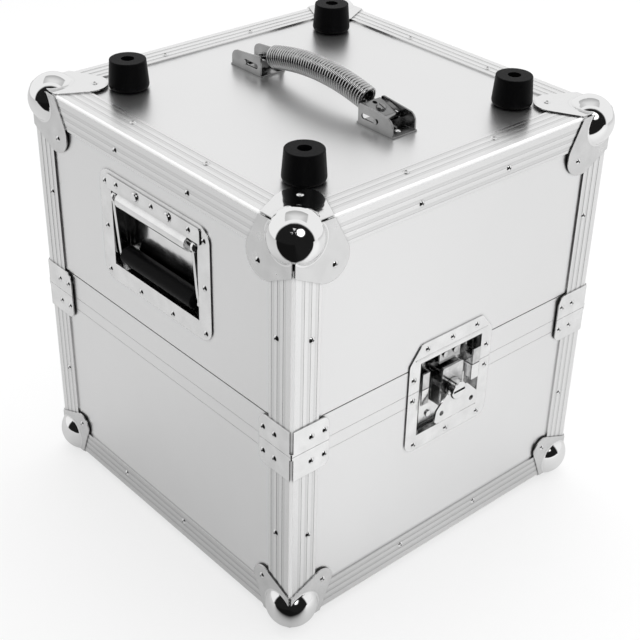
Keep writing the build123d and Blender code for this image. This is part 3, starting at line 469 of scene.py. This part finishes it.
deselect()
bpy.ops.mesh.primitive_circle_add(vertices=10, radius=wire / 2, location=(0, coil_radius, 0), rotation=(0, math.pi / 2, 0))
coil = bpy.context.object
coil.name = "coil_half_rear"
bpy.ops.object.transform_apply(location=True, rotation=True, scale=True)
winding = coil.modifiers.new("winding", "SCREW")
winding.axis = "Z"
winding.steps = winding.render_steps = 24
winding.iterations = turns
winding.screw_offset = (half_length - coil_end) / turns
winding.use_merge_vertices = False
bpy.ops.object.modifier_apply(modifier="winding")
bpy.ops.object.mode_set(mode="EDIT")
bpy.ops.mesh.select_all(action="SELECT")
bpy.ops.mesh.remove_doubles(threshold=0.00001)
bpy.ops.mesh.select_all(action="DESELECT")
bpy.ops.mesh.select_non_manifold()
bpy.ops.mesh.edge_face_add()
bpy.ops.mesh.select_all(action="SELECT")
bpy.ops.mesh.normals_make_consistent(inside=False)
bpy.ops.object.mode_set(mode="OBJECT")
bpy.ops.object.shade_smooth()
bend_half(coil, half_length - coil_end, half_length - coil_end)

deselect()
band_length = half_length + band_end
bpy.ops.mesh.primitive_cube_add(size=1.0, location=(0, band_drop, band_length / 2))
band = bpy.context.object
band.name = "band_half_rear"
band.scale = (band_size[0], band_size[1], band_length)
bpy.ops.object.transform_apply(location=True, rotation=True, scale=True)
bpy.ops.object.mode_set(mode="EDIT")
bpy.ops.mesh.select_all(action="SELECT")
bpy.ops.mesh.subdivide(number_cuts=23)
bpy.ops.object.mode_set(mode="OBJECT")
softened = band.modifiers.new("softened", "BEVEL")
softened.width, softened.segments, softened.limit_method = 0.0004, 2, "ANGLE"
bpy.ops.object.modifier_apply(modifier="softened")
bend_half(band, band_length, half_length)
bpy.ops.object.shade_smooth_by_angle(angle=math.radians(40))

spring_steel = Finish("spring_steel", Metallic=1.0)
haze = spring_steel.noise(120.0, 2.0)
# Painted shade: nearly black in the narrow gaps between the turns of the coil and along the band.
spring_steel.feed(Base_Color=spring_steel.grey(spring_steel.spread(haze, 0.54, 0.66) * spring_steel.hollow_shade(0.002, 0.9)),
                  Roughness=spring_steel.spread(haze, 0.10, 0.18))
coils = (coil, second_half(coil, "coil_half_front"))
bands = (band, second_half(band, "band_half_front"))
for side, wound, flat in zip((1, -1), coils, bands):
    spring_steel.on(wound, flat)
    for piece, node in ((wound, "carry_coil"), (flat, "carry_strap")):
        side * lid_side
        side * grip_side
        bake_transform(piece)
        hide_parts(node)


# ---- Handle rivets
# The two large domed rivets that hold each spring to its hinge plate, over plain washers.

hinge_seat = 0.1858               # outer face of the hinge plate, from the middle of the case
boss_places = (-0.0233, 0.0233)
boss_height = 0.3545
boss_radius, boss_rise = 0.0042, 0.0022
washer_radius, washer_wall = 0.0052, 0.0005

deselect()
bpy.ops.mesh.primitive_cylinder_add(vertices=32, radius=washer_radius, depth=washer_wall, location=(0, 0, washer_wall / 2))
boss = bpy.context.object
bpy.ops.object.mode_set(mode="EDIT")
bpy.ops.mesh.select_mode(type="FACE")
bpy.ops.mesh.select_all(action="DESELECT")
bpy.ops.object.mode_set(mode="OBJECT")
for face in boss.data.polygons:
    face.select = face.normal.z > 0.9
bpy.ops.object.mode_set(mode="EDIT")
bpy.ops.mesh.inset(thickness=washer_radius - boss_radius)
bpy.ops.mesh.extrude_region_move(TRANSFORM_OT_translate={"value": (0, 0, boss_rise - washer_wall)})
bpy.ops.mesh.bevel(offset=0.0015, segments=5, profile=0.5, affect="EDGES")
bpy.ops.object.mode_set(mode="OBJECT")
bpy.ops.object.shade_smooth_by_angle(angle=math.radians(45))
for side, turn in (("left", -1), ("right", 1)):
    for spot, along in zip(("rear", "front"), boss_places[::-1]):
        deselect()
        boss.select_set(True)
        bpy.context.view_layer.objects.active = boss
        bpy.ops.object.duplicate()
        dome = bpy.context.object
        dome.name = f"{side}_{spot}_spring_rivet"
        dome.rotation_euler = (0, turn * math.pi / 2, 0)
        dome.location = (turn * hinge_seat, along, boss_height)
        bpy.ops.object.transform_apply(location=True, rotation=True, scale=True)
        nickel.on(dome)
        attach(dome, "lid")
bpy.data.objects.remove(boss)


# ---- Rubber
# The four feet and the grips of the side handles.

rubber = Finish("black_rubber", Base_Color=(0.003, 0.003, 0.0033, 1), Roughness=0.42, Specular_IOR_Level=0.06)
pores = rubber.noise(700.0, 3.0)
rubber.feed(Roughness=rubber.spread(pores, 0.36, 0.50), Normal=rubber.bump(pores, 0.08, 0.0003))
rubber.on("rubber_feet", "left_handle_grip", "right_handle_grip")


# ---- Foam lining
# Five sheets of charcoal foam in each half, cut by hand and laid in loose: one flat, and one on
# each wall, cut away round the latch dishes and the handle dishes.

foam = 0.005
flat_x, flat_y = 0.1761, 0.1741      # half sizes of the flat sheets
wall_x = 0.1708                      # half length of the front and back sheets
linings = {"base": (0.0179, 0.0232, 0.1865), "lid": (0.3931, 0.2248, 0.3928)}   # flat, wall low, wall high
latch_hole = (0.0400, 0.1495, 0.2295)                                           # half width, low, high
handle_hole = (0.0635, 0.2705, 0.3480)

foam_cells = Finish("charcoal_foam", Base_Color=(0.02, 0.02, 0.022, 1), Roughness=0.9)
cells = foam_cells.noise(900.0, 4.0)
foam_cells.feed(Base_Color=foam_cells.grey(foam_cells.spread(cells, 0.012, 0.034)),
                Roughness=foam_cells.spread(cells, 0.8, 1.0), Normal=foam_cells.bump(cells, 0.5, 0.0008))


def block(low, high):
    """A cube stretched between two corners."""
    deselect()
    middle = [(a + b) / 2 for a, b in zip(low, high)]
    bpy.ops.mesh.primitive_cube_add(size=1.0, location=middle)
    cube = bpy.context.object
    cube.scale = [b - a for a, b in zip(low, high)]
    bpy.ops.object.transform_apply(location=True, rotation=True, scale=True)
    return cube


def cut_sheet(low, high, hole=None):
    """One sheet of foam with its edges softened by the knife, and a hole through it if it needs one."""
    sheet = block(low, high)
    if hole:
        tool = block(*hole)
        cut = sheet.modifiers.new("cut", "BOOLEAN")
        cut.operation, cut.object, cut.solver = "DIFFERENCE", tool, "EXACT"
        bpy.context.view_layer.objects.active = sheet
        bpy.ops.object.modifier_apply(modifier="cut")
        bpy.data.objects.remove(tool)
    edge = sheet.modifiers.new("edge", "BEVEL")
    edge.width, edge.segments, edge.limit_method = 0.0012, 3, "ANGLE"
    bpy.context.view_layer.objects.active = sheet
    bpy.ops.object.modifier_apply(modifier="edge")
    return sheet


for part, (flat, low, high) in linings.items():
    sheets = [cut_sheet((-flat_x, -flat_y, flat), (flat_x, flat_y, flat + foam))]
    for side in (-1, 1):
        near, far = sorted((side * (flat_y - foam), side * flat_y))
        half, bottom, top = latch_hole
        sheets.append(cut_sheet((-wall_x, near, low), (wall_x, far, high),
                                ((-half, near - foam, bottom), (half, far + foam, top))))
        near, far = sorted((side * (flat_x - foam), side * flat_x))
        half, bottom, top = handle_hole
        hole = ((near - foam, -half, bottom), (far + foam, half, top)) if part == "lid" else None
        sheets.append(cut_sheet((near, -flat_y, low), (far, flat_y, high), hole))
    deselect()
    for sheet in sheets:
        sheet.select_set(True)
    bpy.context.view_layer.objects.active = sheets[0]
    bpy.ops.object.join()
    lining = sheets[0]
    lining.name = f"{part}_lining"
    bpy.ops.object.shade_smooth_by_angle(angle=math.radians(40))
    foam_cells.on(lining)
    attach(lining, part)
    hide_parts(f"{part}_foam_lining")


# ---- Last lines

scene = bpy.context.scene
scene.view_settings.view_transform = "Standard"
low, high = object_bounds()
